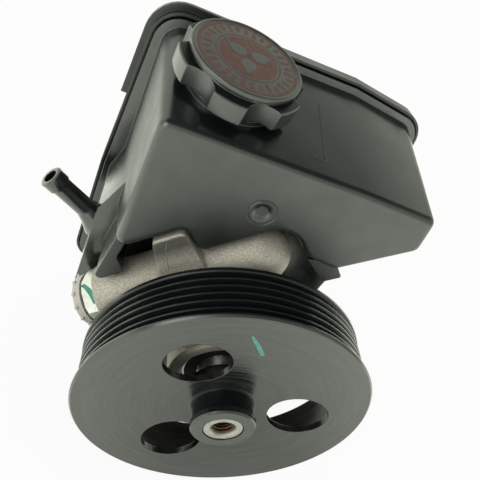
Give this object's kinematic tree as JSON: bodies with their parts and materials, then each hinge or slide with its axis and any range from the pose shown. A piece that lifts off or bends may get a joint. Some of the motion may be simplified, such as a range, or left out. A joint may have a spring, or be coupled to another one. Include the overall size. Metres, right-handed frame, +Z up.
{
  "type": "power steering pump",
  "caption": "Vane power steering pump: grooved belt pulley, cast housing with slanted valve boss, black plastic reservoir with filler cap and hose nipple.",
  "frame": {"origin": "shaft axis at the mounting plane, which is the front face of the three bolt bosses", "axes": "-Y along the shaft out through the pulley, +Z up towards the filler cap, +X to the right seen from the pulley"},
  "size_m": [0.1586, 0.1255, 0.1875],
  "materials": {
    "black_coating": "satin black coat with turning marks",
    "steel": "ground",
    "zinc_steel": "pale plated",
    "dark_steel": "phosphated",
    "cast_aluminium": "grainy as cast",
    "bronze": "plain",
    "rubber": "matt",
    "black_plastic": "satin moulded",
    "pale_plastic": "satin moulded"
  },
  "bodies": {
    "pump_unit": {"pump_housing": "cast_aluminium", "bearing_outer_race": "steel", "bearing_seals": "rubber", "bearing_snap_ring": "dark_steel", "shaft_seal": "rubber", "rear_bush": "bronze", "thrust_plate": "dark_steel", "cam_ring": "steel", "dowel_pins": "steel", "pressure_plate": "dark_steel", "pressure_plate_oring": "rubber", "pressure_plate_spring": "steel", "end_cover": "cast_aluminium", "end_cover_oring": "rubber", "end_cover_snap_ring": "dark_steel", "flow_valve_spring": "steel", "outlet_fitting": "zinc_steel", "outlet_oring": "rubber", "outlet_dust_plug": "pale_plastic", "reservoir_front": "black_plastic", "reservoir_rear": "black_plastic", "reservoir_oring": "rubber", "retaining_clips": "dark_steel"},
    "rotating_group": {"pulley": "black_coating", "drive_shaft": "steel", "bearing_inner_race": "steel", "rotor": "dark_steel", "vanes": "steel", "rotor_snap_ring": "dark_steel"},
    "ball_cage": {"bearing_cage": "bronze", "bearing_balls": "steel"},
    "cap_seal": {"cap_gasket": "rubber"},
    "cap": {"filler_cap": "black_plastic", "dipstick": "black_plastic"},
    "spool": {"flow_valve_spool": "steel"}
  },
  "joints": [
    {"name": "pulley_spin", "type": "hinge", "parent": "pump_unit", "child": "rotating_group", "pos_m": [0, 0, 0], "axis": [0, -1, 0], "continuous": true},
    {"name": "cage_spin", "type": "hinge", "parent": "pump_unit", "child": "ball_cage", "pos_m": [0, 0, 0], "axis": [0, -1, 0], "continuous": true},
    {"name": "cap_lift", "type": "slide", "parent": "pump_unit", "child": "cap_seal", "axis": [0, -0.1994, 0.9799], "range_m": [0, 0.07]},
    {"name": "cap_turn", "type": "hinge", "parent": "cap_seal", "child": "cap", "pos_m": [-0.0404, 0.0275, 0.12098], "axis": [0, -0.1994, 0.9799], "range_deg": [0, 90]},
    {"name": "spool_slide", "type": "slide", "parent": "pump_unit", "child": "spool", "axis": [0.7314, 0, 0.682], "range_m": [0, 0.006], "stiffness_N_per_m": 2000, "deforming": ["flow_valve_spring"]}
  ],
  "couplings": [
    {"joint": "cage_spin", "follows": "pulley_spin", "ratio": 0.38421}
  ]
}
